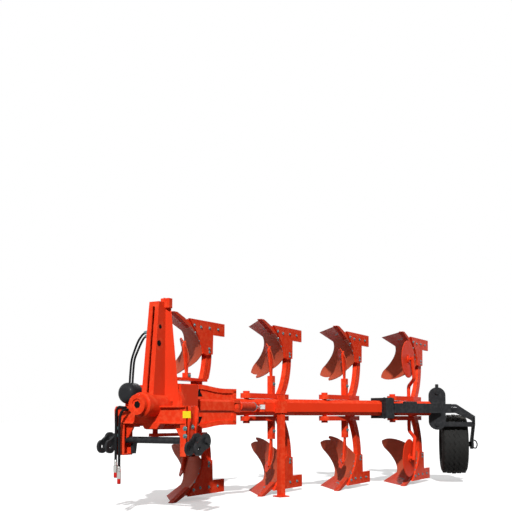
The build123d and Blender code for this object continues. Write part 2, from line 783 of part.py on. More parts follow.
for name, points in free_hoses.items():
    keep(name, hose_tube(points, hose_radius, bend_radii(points)))
    end_x, end_y, end_z = points[-1]
    with BuildPart() as coupler:
        top = end_z
        for long, radius in ((42, 14), (58, 18), (46, 15)):
            with BuildSketch(Plane.XY.offset(top)):
                with Locations((end_x, end_y)):
                    Circle(radius)
            extrude(amount=-long)
            top -= long
    keep(name.replace("hose", "coupler"), coupler.part)

(block_left, block_front), (block_right, block_back), (block_low, block_high) = hose_block
with BuildPart() as block:
    with Locations(((block_left + block_right) / 2, (block_front + block_back) / 2, (block_low + block_high) / 2)):
        Box(block_right - block_left, block_back - block_front, block_high - block_low)
keep("hose_block", block.part)

# Everything moves so that the origin is under the middle of the plough
cord_pieces = [name for name in pieces if name.startswith(("hose", "coupler_long", "coupler_short"))]
whole = Compound([shape for name, shape in pieces.items() if name not in cord_pieces]).bounding_box()
middle = (whole.center().X, whole.center().Y)
for name, shape in pieces.items():
    moved = Pos(-middle[0], -middle[1], 0) * shape
    moved.label = name
    export_step(moved, "parts/" + name + ".step")
print(len(pieces), "pieces, size", whole.size, "middle", middle, "lowest", whole.min.Z)
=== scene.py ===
import json
import math

import bmesh
import bpy
from mathutils import Matrix, Vector


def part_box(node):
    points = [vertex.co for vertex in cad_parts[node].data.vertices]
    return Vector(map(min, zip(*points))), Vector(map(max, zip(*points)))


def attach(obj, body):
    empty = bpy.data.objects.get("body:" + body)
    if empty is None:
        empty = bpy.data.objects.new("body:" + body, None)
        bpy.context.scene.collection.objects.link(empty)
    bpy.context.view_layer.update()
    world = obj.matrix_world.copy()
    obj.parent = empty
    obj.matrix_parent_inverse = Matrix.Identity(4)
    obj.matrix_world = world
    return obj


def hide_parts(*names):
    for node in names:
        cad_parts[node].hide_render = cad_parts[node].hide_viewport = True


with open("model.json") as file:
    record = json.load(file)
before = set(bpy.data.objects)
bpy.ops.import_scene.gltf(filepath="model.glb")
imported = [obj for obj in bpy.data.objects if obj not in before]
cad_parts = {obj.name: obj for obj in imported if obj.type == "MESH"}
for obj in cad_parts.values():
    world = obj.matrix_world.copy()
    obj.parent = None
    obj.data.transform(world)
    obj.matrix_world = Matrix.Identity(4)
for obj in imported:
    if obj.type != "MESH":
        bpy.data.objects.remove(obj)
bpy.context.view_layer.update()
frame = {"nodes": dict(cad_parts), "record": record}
nodes = frame["nodes"]

# Places are in millimetres from the first body's point, as in the part's source
MID = 905
TALL = 2 * MID
PITCH = (415, 955)
BODIES, SKIMMED_BODIES = 4, 3
HUB_X, HUB_FRONT = 460, -1120
hub_low, hub_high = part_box("hub")
MIDDLE = Vector((HUB_X - 500 * (hub_low.x + hub_high.x), HUB_FRONT - 1000 * hub_low.y, 0))

# Directions: along a share's edge and back from it, along the beam and to its left, along the wheel's axle
X = Vector((1, 0, 0))
Y = Vector((0, 1, 0))
UP = Vector((0, 0, 1))
SHARE_TURN = math.radians(40)
SHARE = Vector((-math.sin(SHARE_TURN), math.cos(SHARE_TURN), 0))
RISE = Vector((SHARE.y, -SHARE.x, 0))
ALONG = Vector((*PITCH, 0)).normalized()
LEFT = Vector((ALONG.y, -ALONG.x, 0))
YAW = math.radians(21)
AXLE = Vector((math.cos(YAW), math.sin(YAW), 0))
BACK = Vector((-AXLE.y, AXLE.x, 0))


def place(x, y, z=0):
    return (Vector((x, y, z)) - MIDDLE) / 1000


def body_place(index, x, y, up, flipped=False):
    """A place on one of the bodies. The upper half mirrors the lower one."""
    return place(x + PITCH[0] * index, y + PITCH[1] * index, TALL - up if flipped else up)


def head_place(x, y, up=0):
    return place(HUB_X + x, y, up)


def beam_place(along, left, up=MID):
    spot = ALONG * along + LEFT * left
    return place(spot.x, spot.y, up)


WHEEL_BOSS = Vector((1600, 3420, MID))


def wheel_place(out, back=0, down=0):
    return place(*(WHEEL_BOSS + AXLE * out + BACK * back - UP * down))


# Materials

MOTTLE_SCALE, PATCH_SCALE, DUST_SCALE = 5.0, 24.0, 9.0
DUST_COLOUR = (0.55, 0.47, 0.38)
BUMP_DISTANCE = 0.002


def material(name, base, rough=0.4, metallic=0.0, coat=0.0, worn=None, worn_amount=0.0, shade=0.82,
             grain=60.0, bump=0.05, dust=0.0, specular=0.06):
    """Paint, rubber or steel with mottling, fine grain, worn edges and a little dust on top faces."""
    mat = bpy.data.materials.new(name)
    mat.use_nodes = True
    tree = mat.node_tree
    shader = tree.nodes["Principled BSDF"]
    shader.inputs["Metallic"].default_value = metallic
    shader.inputs["Coat Weight"].default_value = coat
    shader.inputs["Coat Roughness"].default_value = 0.12
    shader.inputs["Specular IOR Level"].default_value = specular

    def node(kind, **settings):
        made = tree.nodes.new(kind)
        for key, value in settings.items():
            setattr(made, key, value)
        return made

    coords = node("ShaderNodeTexCoord")

    def noise(scale):
        made = node("ShaderNodeTexNoise")
        made.inputs["Scale"].default_value = scale
        made.inputs["Detail"].default_value = 4.0
        tree.links.new(coords.outputs["Object"], made.inputs["Vector"])
        return made.outputs["Fac"]

    def ramp(source, low, high, low_colour=(0, 0, 0, 1), high_colour=(1, 1, 1, 1)):
        made = node("ShaderNodeValToRGB")
        for stop, position, colour in zip(made.color_ramp.elements, (low, high), (low_colour, high_colour)):
            stop.position = position
            stop.color = colour
        tree.links.new(source, made.inputs["Fac"])
        return made.outputs["Color"]

    def blend(share, first, second, kind="MIX"):
        made = node("ShaderNodeMix", data_type="RGBA", blend_type=kind)
        for title, sort, value in (("Factor", "VALUE", share), ("A", "RGBA", first), ("B", "RGBA", second)):
            socket = next(s for s in made.inputs if s.name == title and s.type == sort)
            if isinstance(value, bpy.types.NodeSocket):
                tree.links.new(value, socket)
            else:
                socket.default_value = value
        return next(s for s in made.outputs if s.type == "RGBA")

    def grey(value):
        return value, value, value, 1

    dark = (*(c * shade for c in base), 1)
    colour = ramp(noise(MOTTLE_SCALE), 0.35, 0.65, dark, (*base, 1))
    colour = blend(ramp(noise(grain * 4), 0.6, 0.75), colour, dark)
    if worn:
        geometry = node("ShaderNodeNewGeometry")
        edges = ramp(geometry.outputs["Pointiness"], 0.515, 0.56)
        mask = blend(1.0, edges, ramp(noise(PATCH_SCALE), 0.45, 0.62), "MULTIPLY")
        mask = blend(1.0, mask, grey(worn_amount), "MULTIPLY")
        colour = blend(mask, colour, (*worn, 1))
    if dust:
        geometry = node("ShaderNodeNewGeometry")
        split = node("ShaderNodeSeparateXYZ")
        tree.links.new(geometry.outputs["Normal"], split.inputs["Vector"])
        film = blend(1.0, ramp(split.outputs["Z"], 0.5, 1.0), ramp(noise(DUST_SCALE), 0.35, 0.75), "MULTIPLY")
        film = blend(1.0, film, grey(dust), "MULTIPLY")
        colour = blend(film, colour, (*DUST_COLOUR, 1))
    tree.links.new(colour, shader.inputs["Base Color"])
    gloss = noise(grain)
    finish = ramp(gloss, 0.3, 0.7, grey(rough * 0.8), grey(min(1, rough * 1.25)))
    tree.links.new(finish, shader.inputs["Roughness"])
    height = node("ShaderNodeBump")
    height.inputs["Strength"].default_value = bump
    height.inputs["Distance"].default_value = BUMP_DISTANCE
    tree.links.new(gloss, height.inputs["Height"])
    tree.links.new(height.outputs["Normal"], shader.inputs["Normal"])
    return mat


LOOKS = {
    "red_paint": dict(base=(0.74, 0.040, 0.010), rough=0.42, worn=(0.85, 0.13, 0.05), worn_amount=0.3,
                      shade=0.95, bump=0.03),
    "board_paint": dict(base=(0.50, 0.080, 0.036), rough=0.5, worn=(0.36, 0.07, 0.04), worn_amount=0.3,
                        shade=0.9, bump=0.03),
    "share_paint": dict(base=(0.56, 0.044, 0.016), rough=0.48, worn=(0.55, 0.09, 0.05), worn_amount=0.3,
                        shade=0.92, bump=0.03),
    "black_paint": dict(base=(0.020, 0.021, 0.023), rough=0.42, coat=0.05, worn=(0.05, 0.05, 0.052),
                        worn_amount=0.4, shade=0.8, bump=0.04),
    "polished_rod": dict(base=(0.72, 0.72, 0.71), rough=0.16, metallic=1.0, shade=0.96, bump=0.01),
    "coupler_steel": dict(base=(0.46, 0.46, 0.44), rough=0.32, metallic=1.0, shade=0.9, bump=0.02),
    "zinc": dict(base=(0.14, 0.24, 0.25), rough=0.42, metallic=0.5, shade=0.8, bump=0.04),
    "hose_rubber": dict(base=(0.012, 0.012, 0.013), rough=0.5, shade=0.85, grain=220.0, bump=0.1),
    "tyre_rubber": dict(base=(0.022, 0.022, 0.021), rough=0.7, shade=0.82, grain=160.0, bump=0.12, dust=0.05),
    "cap_red": dict(base=(0.5, 0.016, 0.012), rough=0.45, shade=0.9, bump=0.04),
    "plate_yellow": dict(base=(0.8, 0.62, 0.02), rough=0.4, shade=0.95, bump=0.01),
    # Near black, used only as painted shade for holes and openings
    "painted_shade_black": dict(base=(0.006, 0.006, 0.006), rough=0.85, shade=0.85, bump=0.02),
}
MATERIALS = {name: material(name, **look) for name, look in LOOKS.items()}

# The record's slot for each finish that isn't itself one
NODE_FINISH = {"accumulator": "black_paint"}
SLOT_FINISH = {part["node"]: part["material_slot"] for part in frame["record"]["subparts"]}
for node_name in nodes:
    finish = NODE_FINISH.get(node_name, SLOT_FINISH.get(node_name, "red_paint"))
    if node_name.startswith("shares"):
        finish = "share_paint"
    slots = nodes[node_name].data.materials
    slots.clear()
    slots.append(MATERIALS[finish])


# Mesh helpers

SHARP_ANGLE = math.radians(32)


def link(name, data):
    made = bpy.data.objects.new(name, data)
    bpy.context.scene.collection.objects.link(made)
    return made


class Bits:
    """Small pieces of one material on one body, gathered into one mesh."""

    made = []

    def __init__(self, name, body, finish):
        self.name, self.body, self.finish = name, body, finish
        self.bm = bmesh.new()
        Bits.made.append(self)

    def circle(self, centre, side, other, radius, sides, turn=0.0):
        angles = (turn + 2 * math.pi * k / sides for k in range(sides))
        spots = (centre + (side * math.cos(a) + other * math.sin(a)) * radius for a in angles)
        return [self.bm.verts.new(spot) for spot in spots]

    def join(self, first, second):
        count = len(first)
        for k in range(count):
            self.bm.faces.new((first[k], first[(k + 1) % count], second[(k + 1) % count], second[k]))

    def rod(self, rings):
        """Rings joined in a row, with both ends closed."""
        for first, second in zip(rings, rings[1:]):
            self.join(first, second)
        self.bm.faces.new(rings[0])
        self.bm.faces.new(rings[-1])

    def hoop(self, rings):
        """Rings joined in a row, and the last one to the first."""
        for first, second in zip(rings, rings[1:] + rings[:1]):
            self.join(first, second)

    def chamfer(self, edges, size):
        bmesh.ops.bevel(self.bm, geom=list(edges), offset=size, segments=1, affect="EDGES")

    def turned(self, centre, axis, profile, sides=24, turn=0.0):
        """A turned or hexagonal piece. The profile's columns are height and radius, in metres."""
        axis = axis.normalized()
        side = (axis.orthogonal() if abs(axis.z) > 0.9 else UP.cross(axis)).normalized()
        other = axis.cross(side)
        self.rod([
            self.circle(centre + axis * high, side, other, radius, sides, turn)
            for high, radius in profile
        ])

    def bolt(self, centre, axis, radius, high):
        """A washer, a hexagon head and the end of the thread."""
        washer, thread = radius * 1.45, radius * 0.5
        self.turned(centre, axis, [(-0.003, washer), (0.0025, washer), (0.0035, radius * 1.35)])
        nut = [(0.003, radius), (high - 0.002, radius), (high, radius * 0.86)]
        self.turned(centre, axis, nut, sides=6, turn=0.3)
        tip = [(high - 0.001, thread), (high + 0.006, thread), (high + 0.008, radius * 0.4)]
        self.turned(centre, axis, tip, sides=14)

    def head(self, centre, axis, radius=0.012, high=0.004):
        """A low round head with a dished middle."""
        profile = [(-0.004, radius), (high * 0.4, radius), (high, radius * 0.75), (high * 0.7, radius * 0.4)]
        self.turned(centre, axis, profile, sides=20)

    def block(self, centre, along, up, size, edge):
        """A box with chamfered edges, its size along, across and up."""
        along, up = along.normalized(), up.normalized()
        across = up.cross(along)
        made = bmesh.ops.create_cube(self.bm, size=1)
        basis = Matrix((along * size[0], across * size[1], up * size[2])).transposed().to_4x4()
        bmesh.ops.transform(self.bm, matrix=Matrix.Translation(centre) @ basis, verts=made["verts"])
        self.chamfer({e for v in made["verts"] for e in v.link_edges}, edge)

    def prism(self, origin, u_dir, v_dir, outline, low, high, edge=3):
        """An outline in millimetres along two directions, thickened along the third, with chamfered edges."""
        normal = u_dir.cross(v_dir)
        ends = []
        for level in (low, high):
            spots = (origin + (u_dir * u + v_dir * v + normal * level) / 1000 for u, v in outline)
            ends.append([self.bm.verts.new(spot) for spot in spots])
        caps = [self.bm.faces.new(list(reversed(ends[0]))), self.bm.faces.new(ends[1])]
        self.join(*ends)
        if edge:
            self.chamfer({e for face in caps for e in face.edges}, edge / 1000)

    def tube(self, points, radius, sides=12):
        """A bent round bar along points that are close together."""
        rings, side = [], None
        for k, point in enumerate(points):
            before, after = points[max(0, k - 1)], points[min(len(points) - 1, k + 1)]
            axis = (after - before).normalized()
            side = side - axis * side.dot(axis) if side else axis.orthogonal()
            side.normalize()
            rings.append(self.circle(point, side, axis.cross(side), radius, sides))
        self.rod(rings)

    def finish_piece(self):
        """The mesh as an object that rides on its body."""
        Bits.made.remove(self)
        bmesh.ops.recalc_face_normals(self.bm, faces=self.bm.faces)
        mesh = bpy.data.meshes.new(self.name)
        self.bm.to_mesh(mesh)
        self.bm.free()
        mesh.materials.append(MATERIALS[self.finish])
        mesh.polygons.foreach_set("use_smooth", [True] * len(mesh.polygons))
        mesh.set_sharp_from_angle(angle=SHARP_ANGLE)
        piece = link(self.name, mesh)
        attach(piece, self.body)
        return piece

    def stand_for(self, node_name):
        """The finished object in the place of a CAD node."""
        piece = self.finish_piece()
        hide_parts(node_name)
        return piece


def smooth_path(corners, steps=5):
    """Points of a soft bend through a few corners."""
    points = [corners[0]]
    for before, here, after in zip(corners, corners[1:], corners[2:]):
        first = here.lerp(before, 0.35)
        last = here.lerp(after, 0.35)
        for k in range(steps + 1):
            t = k / steps
            points.append(first * (1 - t) ** 2 + here * 2 * t * (1 - t) + last * t**2)
    points.append(corners[-1])
    return points


def scaled(outline, u=1, v=1):
    return [(a * u, b * v) for a, b in outline]


def both_sides(low, high):
    return (-high, -low), (low, high)


# Plough bodies: bolts on shares, boards, landsides and legs

def arc_place(foot, middle, top, share):
    """A point of the arc through three (back, up) points, and the normal there, as (back, up) pairs."""
    (ax, ay), (bx, by), (cx, cy) = foot, middle, top
    a_square, b_square, c_square = ax**2 + ay**2, bx**2 + by**2, cx**2 + cy**2
    d = 2 * (ax * (by - cy) + bx * (cy - ay) + cx * (ay - by))
    ux = (a_square * (by - cy) + b_square * (cy - ay) + c_square * (ay - by)) / d
    uy = (a_square * (cx - bx) + b_square * (ax - cx) + c_square * (bx - ax)) / d
    start = math.atan2(ay - uy, ax - ux)
    end = math.atan2(cy - uy, cx - ux)
    angle = start + (end - start) * share
    radius = math.hypot(ax - ux, ay - uy)
    spot = (ux + radius * math.cos(angle), uy + radius * math.sin(angle))
    return spot, (-math.cos(angle), -math.sin(angle))


def on_edge(index, along, back, up, flipped):
    spot = SHARE * along + RISE * back
    return body_place(index, spot.x, spot.y, up, flipped)


def edge_normal(normal, flipped):
    back, up = normal
    return RISE * back + UP * (-up if flipped else up)


BOARD = ((140, 81), (292, 250), (317, 470))
SHARE_NORMAL = (-0.5, 0.866)
SHARE_SLOPE = BOARD[0][1] / BOARD[0][0]
# Places along the edge and back from it
SHARE_BOLTS = [(175, 98), (225, 98), (275, 98), (345, 108), (395, 106), (445, 102), (550, 88)]
# Places along the edge and shares of the board's arc
BOARD_BOLTS = [(285, 0.3), (345, 0.34), (350, 0.5), (380, 0.62)]
# Places along the landside and heights, on its plate and on the leg's foot
LAND_BOLTS = [(330, 100), (445, 112), (600, 108), (760, 108), (596, 318), (600, 352)]
LAND_FACE, HOLDER_FACE, HOLDER_BOLT = 22, 10, 260

body_bolts = []
for index in range(BODIES):
    bolts = Bits(f"bolts_{index + 1}", f"body_{index + 1}", "zinc")
    body_bolts.append(bolts)
    for flipped in (False, True):
        for along, back in SHARE_BOLTS:
            spot = on_edge(index, along, back, back * SHARE_SLOPE, flipped)
            bolts.head(spot, edge_normal(SHARE_NORMAL, flipped))
        for along, share in BOARD_BOLTS:
            (back, up), normal = arc_place(*BOARD, share)
            bolts.head(on_edge(index, along, back, up, flipped), edge_normal(normal, flipped), radius=0.011)
        for y, up in LAND_BOLTS:
            bolts.bolt(body_place(index, LAND_FACE, y, up, flipped), X, radius=0.011, high=0.008)
        if index < SKIMMED_BODIES:
            up = 660 if index else 600
            bolts.bolt(body_place(index, HOLDER_FACE, HOLDER_BOLT, up, flipped), X, radius=0.014, high=0.012)

# Free hoses with their couplers
HOSE_RADIUS = 0.011
HOSES = {
    "hose_long": [
        (236, -950, 868), (236, -985, 868), (225, -1010, 860), (205, -1010, 820), (190, -1000, 760),
        (179, -988, 640), (183, -990, 520), (183, -990, 401),
    ],
    "hose_short": [
        (216, -950, 884), (216, -985, 884), (180, -1002, 892), (154, -1000, 858), (147, -992, 790),
        (143, -987, 690), (146, -990, 570), (146, -990, 451),
    ],
}
# Turned profiles from the hose's end down: ferrule, nut, sleeve and cap
FERRULE = [(0.0, 0.0125), (0.003, 0.0138), (0.016, 0.0138), (0.018, 0.012), (0.041, 0.012)]
NUT = [(0.0, 0.0138), (0.014, 0.0138)]
SLEEVE = [(0.0, 0.015), (0.003, 0.0178), (0.05, 0.0178), (0.054, 0.016), (0.058, 0.016)]
CAP = [(0.0, 0.0138), (0.003, 0.0148), (0.04, 0.0148), (0.046, 0.011)]
NUT_DOWN, SLEEVE_DOWN, CAP_DOWN = 0.02, 0.042, 0.098
# The strap that holds the cap, from the hose's end
STRAP = [
    (0.0145, 0, -0.112), (0.0168, 0.001, -0.1), (0.0169, 0.001, -0.06), (0.0165, 0, -0.035), (0.013, 0, -0.02),
]

for name, points in HOSES.items():
    curve = bpy.data.curves.new(name + "_line", "CURVE")
    curve.dimensions = "3D"
    curve.bevel_depth = HOSE_RADIUS
    curve.bevel_resolution = 5
    curve.resolution_u = 10
    curve.use_fill_caps = True
    line = curve.splines.new("NURBS")
    line.points.add(len(points) - 1)
    for point, spot in zip(line.points, points):
        point.co = (*place(*spot), 1)
    line.order_u = 3
    line.use_endpoint_u = True
    curve.materials.append(MATERIALS["hose_rubber"])
    hose = link(name + "_line", curve)
    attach(hose, "headstock")
    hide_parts(name)
    end = place(*points[-1])
    coupler = Bits(name.replace("hose", "fitting"), "headstock", "coupler_steel")
    coupler.turned(end, -UP, FERRULE)
    coupler.turned(end - UP * NUT_DOWN, -UP, NUT, sides=6)
    coupler.turned(end - UP * SLEEVE_DOWN, -UP, SLEEVE)
    cap = Bits(name.replace("hose", "cap"), "headstock", "cap_red")
    cap.turned(end - UP * CAP_DOWN, -UP, CAP)
    cap.tube([end + Vector(offset) for offset in STRAP], 0.0012, sides=6)
    fitting = coupler.stand_for(name.replace("hose", "coupler"))
    cap_piece = cap.finish_piece()

# Tyre with zigzag ribs on the tread, in metres
WHEEL = wheel_place(97, 330, 436)
HALF_WIDTH, TREAD = 0.16, 0.353
# One half of the profile, from the tread to the bead: inset from the tyre's side, and radius
TYRE_SIDE = [
    (0.05, TREAD), (0.034, 0.35), (0.018, 0.34), (0.006, 0.318), (0.001, 0.29), (0.004, 0.262),
    (0.012, 0.243), (0.04, 0.233), (0.04, 0.205),
]
# Each rib's place across, width and height
RIBS = [
    (-0.115, 0.022, 0.0105), (-0.058, 0.026, 0.0122), (0.0, 0.026, 0.0125), (0.058, 0.026, 0.0122),
    (0.115, 0.022, 0.0105),
]
RIB_WAVES, WAVE_STEPS, WAVE_SHIFT = 26, 6, 0.011
AROUND_STEPS = 96


def wheel_point(across, radius, angle):
    return WHEEL + AXLE * across + (BACK * math.cos(angle) + UP * math.sin(angle)) * radius


tyre = Bits("tyre_tread", "wheel", "tyre_rubber")


def tyre_ring(corners, share):
    """One section of the tyre, at a share of the way round."""
    return [tyre.bm.verts.new(wheel_point(across, radius, 2 * math.pi * share)) for across, radius in corners]


left_side = [(-HALF_WIDTH + inset, radius) for inset, radius in reversed(TYRE_SIDE)]
right_side = [(HALF_WIDTH - inset, radius) for inset, radius in TYRE_SIDE]
tyre_profile = left_side + [(0, TREAD + 0.001)] + right_side
tyre.hoop([tyre_ring(tyre_profile, k / AROUND_STEPS) for k in range(AROUND_STEPS)])
for centre, wide, rise in RIBS:
    steps = RIB_WAVES * WAVE_STEPS
    low = TREAD - 0.004 - abs(centre) * 0.04
    top = TREAD + rise - abs(centre) * 0.065
    rings = []
    for k in range(steps):
        wave = abs(k / WAVE_STEPS % 1 * 2 - 1) * 2 - 1
        left_edge = centre + wave * WAVE_SHIFT - wide / 2
        right_edge = left_edge + wide
        corners = [(left_edge - 0.003, low), (left_edge, top), (right_edge, top), (right_edge + 0.003, low)]
        rings.append(tyre_ring(corners, k / steps))
    tyre.hoop(rings)
tyre.stand_for("tyre")

rim_bolts = Bits("rim_bolts", "wheel", "zinc")
for k in range(6):
    rim_bolts.bolt(wheel_point(HALF_WIDTH - 0.02, 0.066, 2 * math.pi * k / 6), AXLE, radius=0.011, high=0.014)

# Skimmers: a lobed board, its share and the shank
SKIM_POINT = Vector((-40, 190, 238))
SKIM_LONG, SKIM_HIGH = 400, 345
# Three (back, up) points of the board's arc, at its point and at its far end
SKIM_NEAR = ((0, 0), (62, 120), (58, SKIM_HIGH))
SKIM_FAR = ((-10, 55), (5, 190), (-115, 350))
# Columns: place along the edge, lowest and highest place up the arc
SKIM_BOARD = [
    (0, 0, 235), (55, 0, 268), (115, 30, 298), (175, 58, 320), (232, 120, 336), (280, 215, 340),
    (318, 285, 312),
]
SKIM_SHARE = [(0, -4, 96), (60, -4, 100), (118, 26, 96), (150, 40, 80)]
SHARE_LIFT = 5
SKIM_BOLTS = ((60, 60), (100, 72), (60, 130), (104, 140))
# The shank's outline, along the travel and up
SHANK = [(196, 300), (238, 520), (243, 580), (277, 580), (280, 500), (268, 380), (236, 262)]
SHANK_X, SHANK_THICK = -32, 20


def skim_spot(along, up):
    """A point of the skimmer's board and its normal, in millimetres from the body's point."""
    near, near_normal = arc_place(*SKIM_NEAR, up / SKIM_HIGH)
    far, far_normal = arc_place(*SKIM_FAR, up / SKIM_HIGH)
    share = along / SKIM_LONG
    back, high = (n + (f - n) * share for n, f in zip(near, far))
    normal_back, normal_up = (n + (f - n) * share for n, f in zip(near_normal, far_normal))
    spot = SKIM_POINT + SHARE * along + RISE * back + UP * high
    return spot, (RISE * normal_back + UP * normal_up).normalized()


def skim_patch(bits, index, flipped, outline, thick, lift=0.0, steps=6):
    """A curved plate that follows the board between the outline's lowest and highest places."""
    borders = []
    for depth in (lift, lift - thick):
        rows = []
        for along, low, high in outline:
            row = []
            for k in range(steps + 1):
                spot, normal = skim_spot(along, low + (high - low) * k / steps)
                spot = spot + normal * depth
                row.append(bits.bm.verts.new(body_place(index, *spot, flipped)))
            rows.append(row)
        for first, second in zip(rows, rows[1:]):
            for k in range(steps):
                bits.bm.faces.new((first[k], first[k + 1], second[k + 1], second[k]))
        far_side = [row[-1] for row in rows[1:]]
        near_side = [row[0] for row in rows[-2:0:-1]]
        borders.append(rows[0] + far_side + rows[-1][-2::-1] + near_side)
    bits.join(*borders)


for index in range(SKIMMED_BODIES):
    board = Bits(f"skimmer_boards_{index + 1}", f"body_{index + 1}", "board_paint")
    shank = Bits(f"skimmer_shanks_{index + 1}", f"body_{index + 1}", "red_paint")
    for flipped in (False, True):
        skim_patch(board, index, flipped, SKIM_BOARD, 7)
        skim_patch(shank, index, flipped, SKIM_SHARE, 6, lift=SHARE_LIFT)
        turn = -1 if flipped else 1
        shank.prism(body_place(index, SHANK_X, 0, 0, flipped), Y, UP * turn, SHANK, 0, SHANK_THICK * turn)
        for along, up in SKIM_BOLTS:
            spot, normal = skim_spot(along, up)
            spot = spot + normal * SHARE_LIFT
            normal.z *= turn
            body_bolts[index].head(body_place(index, *spot, flipped), normal, radius=0.010)
    board.stand_for(f"skimmers_{index + 1}")
    shank.stand_for(f"skimmers_{index + 1}")

# Front frame: curved flanges round a sunk web, as outlines along the beam and up from its middle
BEAM = beam_place(0, 0)
FRAME_HALF = 75
UPPER_EDGE = [
    (-380, 120), (-262, 120), (-242, 214), (210, 214), (270, 212), (330, 205), (430, 187), (490, 179),
    (550, 176), (690, 176),
]
# The flange is thicker where the frame is high, and its lower edge is further back at the front corner
lower_edge = [(a + (14 if up > 120 and a < 0 else 0), up - (44 if up > 130 else 30)) for a, up in UPPER_EDGE]
flange = UPPER_EDGE + lower_edge[::-1]
web = [(a, up - 20) for a, up in UPPER_EDGE] + [(690, 0), (-380, 0)]
REAR_WALL = [(646, -160), (646, 160), (690, 160), (690, -160)]
FRONT_WALL = [(-242, -190), (-242, 190), (-196, 190), (-196, -190)]
# Outline of a black plate of painted shade on the web, where an opening looks dark
OPENING = [(228, 96), (214, 164), (268, 164), (300, 96)]
WEB_FACES, OPENING_FACES = both_sides(46, 58), both_sides(58, 59)
SWING_SLEEVE = [(0, 0.06), (0.012, 0.074), (0.228, 0.074), (0.24, 0.06)]

front_frame = Bits("front_frame_form", "beam", "red_paint")
frame_painted_shade = Bits("front_frame_painted_shade", "beam", "painted_shade_black")
for turn in (1, -1):
    front_frame.prism(BEAM, ALONG, UP, scaled(flange, v=turn), -FRAME_HALF, FRAME_HALF, edge=4)
    for low, high in WEB_FACES:
        front_frame.prism(BEAM, ALONG, UP, scaled(web, v=turn), low, high, edge=0)
for wall in (REAR_WALL, FRONT_WALL):
    front_frame.prism(BEAM, ALONG, UP, wall, -FRAME_HALF, FRAME_HALF, edge=4)
front_frame.turned(place(-151.5, -348.5, 785), UP, SWING_SLEEVE, sides=40)
# A thin black plate on each side of the web is painted shade, standing in for a dark opening
for turn in (1, -1):
    for low, high in OPENING_FACES:
        frame_painted_shade.prism(BEAM, ALONG, UP, scaled(OPENING, v=turn), low, high, edge=0)
front_frame.stand_for("front_frame")

# Offset arm of the width ram: a box with chamfered edges and two lugs
BARREL = Vector((420, -330, MID))
CLEVIS = Vector((570, 220, MID))
ARM_DIR = (CLEVIS - BARREL).normalized()
ARM_LEFT = UP.cross(ARM_DIR)
ARM_LONG = (CLEVIS - BARREL).length
ARM_BOX = [(70, -59), (ARM_LONG - 50, -59), (ARM_LONG - 50, 59), (70, 59)]
# The lug's outline, along the arm from the clevis and to its left
LUG = [(-90, -38), (0, -38), (27, -27), (38, 0), (27, 27), (0, 38), (-90, 38)]

offset_arm = Bits("offset_arm_form", "swivel", "red_paint")
offset_arm.prism(place(*BARREL), ARM_DIR, UP, ARM_BOX, -50, 50, edge=19)
for low, high in both_sides(26, 59):
    lug = [(ARM_LONG + a, b) for a, b in LUG]
    offset_arm.prism(place(*BARREL), ARM_DIR, ARM_LEFT, lug, low, high, edge=4)
offset_arm.turned(place(*CLEVIS), UP, [(-0.066, 0.021), (0.066, 0.021)])
offset_arm.stand_for("offset_arm")

# Headstock: cross member with lips, open legs, gussets and a keel under the hub. Outlines are across and up.
LEG_FRONT, LEG_REAR = -925, -805
LEG_MIDDLE = (LEG_FRONT + LEG_REAR) / 2
LEG_WALL = [(285, 490), (362, 490), (366, 700), (386, 770), (390, 868), (374, 896), (285, 896)]
LEG_SIDE = [(LEG_FRONT, 490), (LEG_REAR, 490), (LEG_REAR, 896), (LEG_FRONT, 896)]
LEG_FLOOR = [(-38, -58), (38, -58), (38, 58), (-38, 58)]
GUSSET = [(286, 762), (286, 628), (262, 640), (196, 752)]
KEEL = [(-96, 752), (96, 752), (62, 709), (-62, 709)]
LIP_REAR = -788
# Height and depth of the cross member's lips
LIPS = ((889, 158), (757, 146))
SHAFT_FOOT = [(252, 600), (279, 600), (279, 500), (266, 500)]

headstock = Bits("headstock_form", "headstock", "red_paint")
for side in (-1, 1):
    walls = scaled(LEG_WALL, u=side)
    headstock.prism(head_place(0, LEG_FRONT), X, UP, walls, -18, 0)
    headstock.prism(head_place(0, LEG_REAR), X, UP, walls, 0, 18)
    headstock.prism(head_place(side * 353, 0), Y, UP, LEG_SIDE, -9, 9)
    headstock.prism(head_place(side * 324, LEG_MIDDLE, 498), X, Y, LEG_FLOOR, -8, 8)
    headstock.prism(head_place(0, -892), X, UP, scaled(GUSSET, u=side), -22, 0)
headstock.block(head_place(0, -860, 823), X, UP, (0.58, 0.118, 0.146), edge=0.003)
for level, deep in LIPS:
    headstock.block(head_place(0, LIP_REAR - deep / 2, level), X, UP, (0.68, deep / 1000, 0.016), edge=0.004)
headstock.prism(head_place(0, -935), X, UP, KEEL, -80, 0)
headstock.stand_for("headstock")

shaft_feet = Bits("shaft_feet", "headstock", "black_paint")
for side in (-1, 1):
    shaft_feet.prism(head_place(0, -840), X, UP, scaled(SHAFT_FOOT, u=side), -60, 0)

head_bolts = Bits("head_bolts", "headstock", "zinc")
for side in (-1, 1):
    for up in (655, 715):
        head_bolts.bolt(head_place(side * 335, LEG_FRONT, up), -Y, radius=0.013, high=0.01)
    head_bolts.bolt(head_place(side * 362, -860, 728), X * side, radius=0.013, high=0.01)
plates = Bits("blank_plates", "headstock", "plate_yellow")
plates.block(head_place(351, LEG_FRONT - 1, 826), X, UP, (0.078, 0.0016, 0.056), edge=0.0005)

hub_ring = Bits("hub_ring", "headstock", "red_paint")
hub_ring.turned(head_place(0, -1082, MID), -Y, [(0, 0.048), (0.03, 0.048)], sides=40)
# A thin black hexagon on the hub's front is painted shade for its bore
hub_painted_shade = Bits("hub_painted_shade", "headstock", "painted_shade_black")
hub_painted_shade.turned(head_place(0, -1111, MID), -Y, [(0, 0.031), (0.0012, 0.031)], sides=6, turn=0.2)

